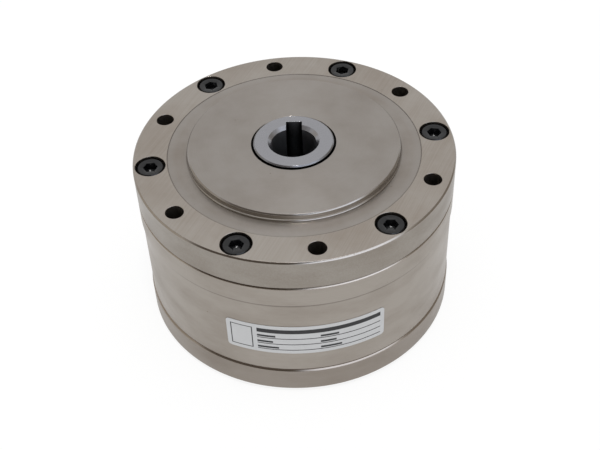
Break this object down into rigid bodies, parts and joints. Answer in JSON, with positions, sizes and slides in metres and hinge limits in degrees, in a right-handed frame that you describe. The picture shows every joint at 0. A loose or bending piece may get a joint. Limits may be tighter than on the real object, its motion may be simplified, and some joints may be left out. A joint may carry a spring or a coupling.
{
  "type": "ball reducer",
  "caption": "Round flange-mounted speed reducer with a keyed hollow input, balls rolling in wavy tracks on a swinging disc, and a threaded output flange underneath.",
  "frame": {"origin": "centre of the output face, the lowest face", "axes": "+Z along the axis of rotation from the output face towards the keyed input end; +X through one of the flange screws"},
  "size_m": [0.1, 0.1, 0.0602],
  "materials": {
    "nickel_ground": "nickel plated, ground in straight strokes",
    "nickel_turned": "nickel plated, fine turned",
    "ground_steel": "bright ground steel",
    "hardened_steel": "hardened and ground",
    "bearing_steel": "polished bearing steel",
    "spring_steel": "phosphated spring steel",
    "black_oxide": "black oxide, satin",
    "seal_rubber": "matt nitrile rubber",
    "cage_polymer": "natural polyamide",
    "label_foil": "silver-white printed film"
  },
  "bodies": {
    "housing": {"flange_ring": "nickel_ground", "pilot_cover": "nickel_turned", "casing": "nickel_turned", "retainer_ring": "nickel_turned", "flange_screws": "black_oxide", "retainer_screws": "black_oxide", "type_label": "label_foil", "preload_shim": "hardened_steel", "fixed_track_disc": "hardened_steel", "fixed_track_screws": "black_oxide", "fixed_track_dowels": "hardened_steel", "input_seal": "seal_rubber", "output_seal": "seal_rubber", "cover_o_ring": "seal_rubber", "retainer_o_ring": "seal_rubber", "input_bearing_outer": "bearing_steel", "main_bearing_outer": "bearing_steel"},
    "input_shaft": {"eccentric_shaft": "ground_steel", "bore_plug": "ground_steel", "counterweights": "hardened_steel", "eccentric_circlip": "spring_steel", "input_bearing_inner": "bearing_steel", "eccentric_bearing_inner": "bearing_steel", "end_bearing_inner": "bearing_steel"},
    "swing": {"swing_disc": "hardened_steel", "swing_circlip": "spring_steel", "eccentric_bearing_outer": "bearing_steel"},
    "upper_balls": {"first_stage_balls": "bearing_steel"},
    "lower_balls": {"second_stage_balls": "bearing_steel"},
    "output": {"output_flange": "ground_steel", "output_track_disc": "hardened_steel", "output_track_screws": "black_oxide", "output_track_dowels": "hardened_steel", "end_bearing_outer": "bearing_steel", "main_bearing_inner": "bearing_steel", "bearing_lock_nut": "spring_steel"},
    "input_rolling": {"input_bearing_balls": "bearing_steel", "input_bearing_cage": "cage_polymer"},
    "eccentric_rolling": {"eccentric_bearing_balls": "bearing_steel", "eccentric_bearing_cage": "cage_polymer"},
    "end_rolling": {"end_bearing_balls": "bearing_steel", "end_bearing_cage": "cage_polymer"},
    "main_rolling": {"main_bearing_rollers": "bearing_steel"}
  },
  "joints": [
    {"name": "input_spin", "type": "hinge", "parent": "housing", "child": "input_shaft", "pos_m": [0, 0, 0.0602], "axis": [0, 0, 1], "continuous": true},
    {"name": "swing_spin", "type": "hinge", "parent": "input_shaft", "child": "swing", "pos_m": [0.0008, 0, 0.0333], "axis": [0, 0, 1], "continuous": true},
    {"name": "upper_balls_spin", "type": "hinge", "parent": "input_shaft", "child": "upper_balls", "pos_m": [0.0004, 0, 0.0388], "axis": [0, 0, 1], "continuous": true},
    {"name": "lower_balls_spin", "type": "hinge", "parent": "input_shaft", "child": "lower_balls", "pos_m": [0.0004, 0, 0.0278], "axis": [0, 0, 1], "continuous": true},
    {"name": "output_spin", "type": "hinge", "parent": "housing", "child": "output", "pos_m": [0, 0, 0], "axis": [0, 0, 1], "continuous": true},
    {"name": "input_rolling_spin", "type": "hinge", "parent": "housing", "child": "input_rolling", "pos_m": [0, 0, 0.0486], "axis": [0, 0, 1], "continuous": true},
    {"name": "eccentric_rolling_spin", "type": "hinge", "parent": "input_shaft", "child": "eccentric_rolling", "pos_m": [0.0008, 0, 0.033], "axis": [0, 0, 1], "continuous": true},
    {"name": "end_rolling_spin", "type": "hinge", "parent": "housing", "child": "end_rolling", "pos_m": [0, 0, 0.0183], "axis": [0, 0, 1], "continuous": true},
    {"name": "main_rolling_spin", "type": "hinge", "parent": "housing", "child": "main_rolling", "pos_m": [0, 0, 0.0163], "axis": [0, 0, 1], "continuous": true}
  ],
  "couplings": [
    {"joint": "swing_spin", "follows": "input_spin", "ratio": -1.125},
    {"joint": "upper_balls_spin", "follows": "input_spin", "ratio": -1.0588},
    {"joint": "lower_balls_spin", "follows": "input_spin", "ratio": -1.0446},
    {"joint": "output_spin", "follows": "input_spin", "ratio": 0.025},
    {"joint": "input_rolling_spin", "follows": "input_spin", "ratio": 0.44355},
    {"joint": "eccentric_rolling_spin", "follows": "input_spin", "ratio": -0.61719},
    {"joint": "end_rolling_spin", "follows": "input_spin", "ratio": 0.45746},
    {"joint": "main_rolling_spin", "follows": "input_spin", "ratio": 0.01198}
  ]
}
